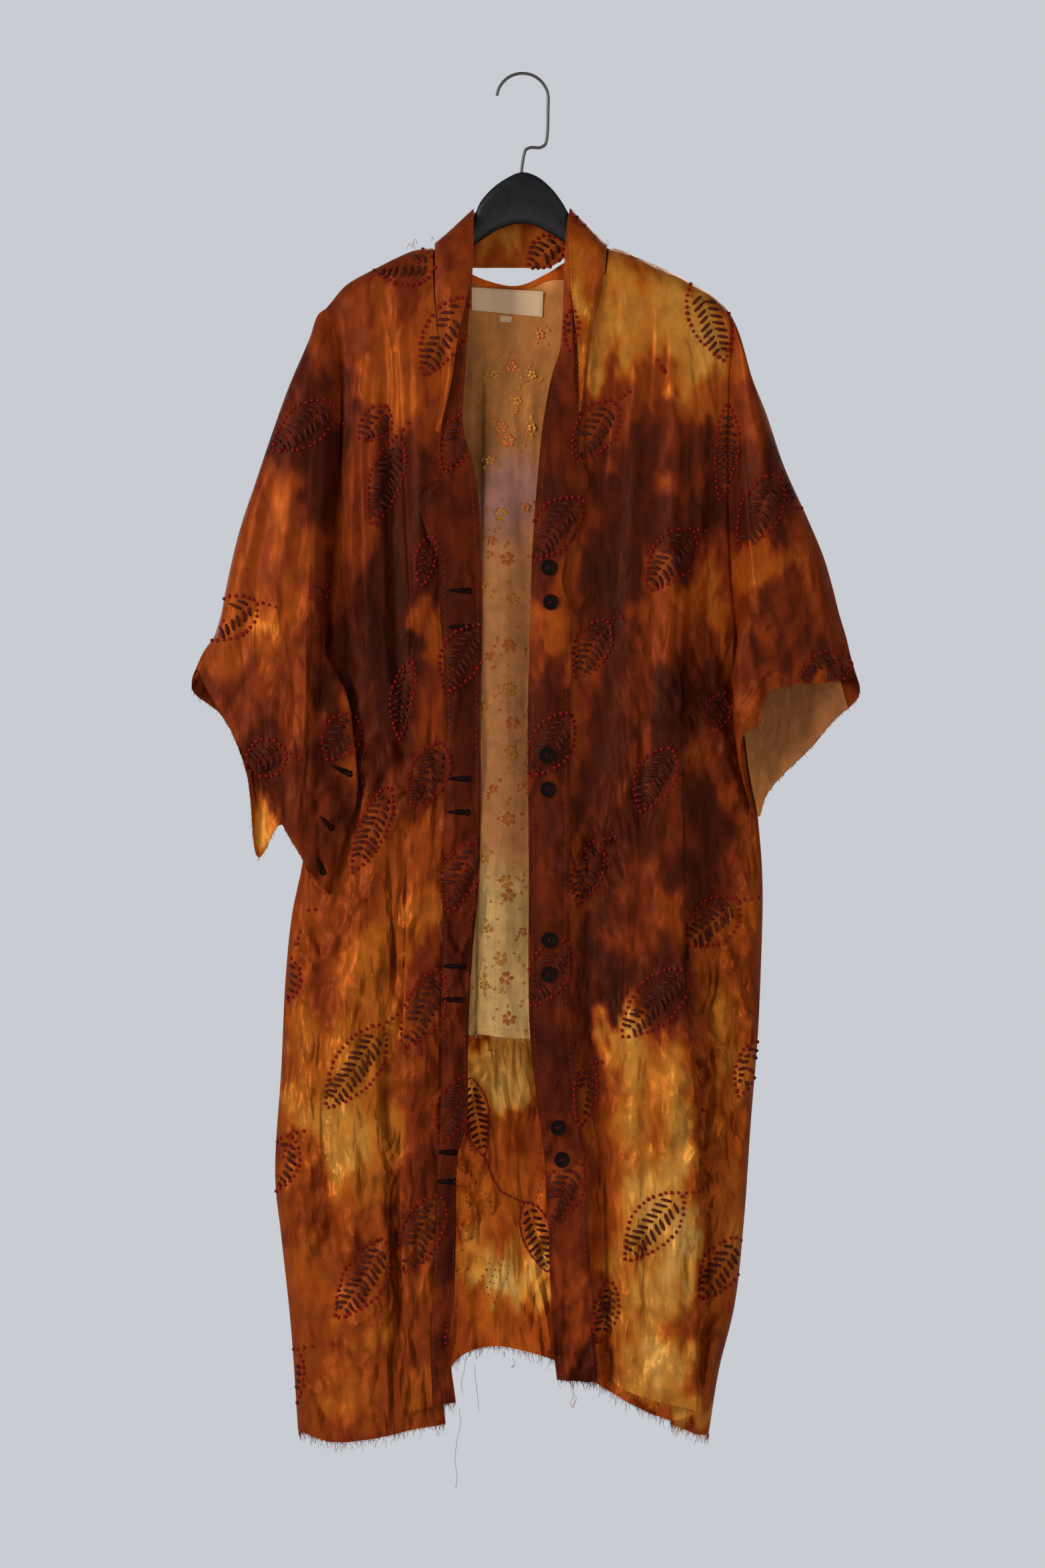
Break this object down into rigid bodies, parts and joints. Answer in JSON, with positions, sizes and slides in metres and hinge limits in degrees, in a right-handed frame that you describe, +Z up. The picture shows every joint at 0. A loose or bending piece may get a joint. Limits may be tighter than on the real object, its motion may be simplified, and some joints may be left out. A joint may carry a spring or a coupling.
{
  "type": "silk coat on a hanger",
  "caption": "Long open-front silk coat with wide flattened sleeves, hanging on a contoured hanger with a wire hook.",
  "frame": {"origin": "inner top of the hook's arc, where the hanger hangs", "axes": "+Z up, -Y out of the coat's front, +X to the viewer's right (the wearer's left)"},
  "size_m": [0.6432, 0.0707, 1.3178],
  "materials": {
    "silk": "crinkled silk, dyed in soft patches of gold, orange, rust and dark red-brown",
    "band": "dyed silk, mostly dark red-brown",
    "collar": "dyed silk, orange and gold",
    "lining": "thin peach silk",
    "label": "cream satin ribbon, bare",
    "button": "dark red-brown, polished",
    "hanger": "black, satin",
    "wire": "dull bent wire"
  },
  "bodies": {
    "root": {"back": "silk", "right_front": "silk", "left_front": "silk", "right_band": "band", "left_band": "band", "right_collar": "collar", "left_collar": "collar", "back_collar": "collar", "right_sleeve": "silk", "left_sleeve": "silk", "left_sleeve_lining": "lining", "back_lining": "lining", "neck_label": "label", "size_tab": "label", "cuff_button": "button", "hanger_body": "hanger", "hanger_hook": "wire", "button_1": "button", "button_2": "button", "button_3": "button", "button_4": "button", "button_5": "button", "button_6": "button", "button_7": "button", "button_8": "button"}
  },
  "joints": []
}
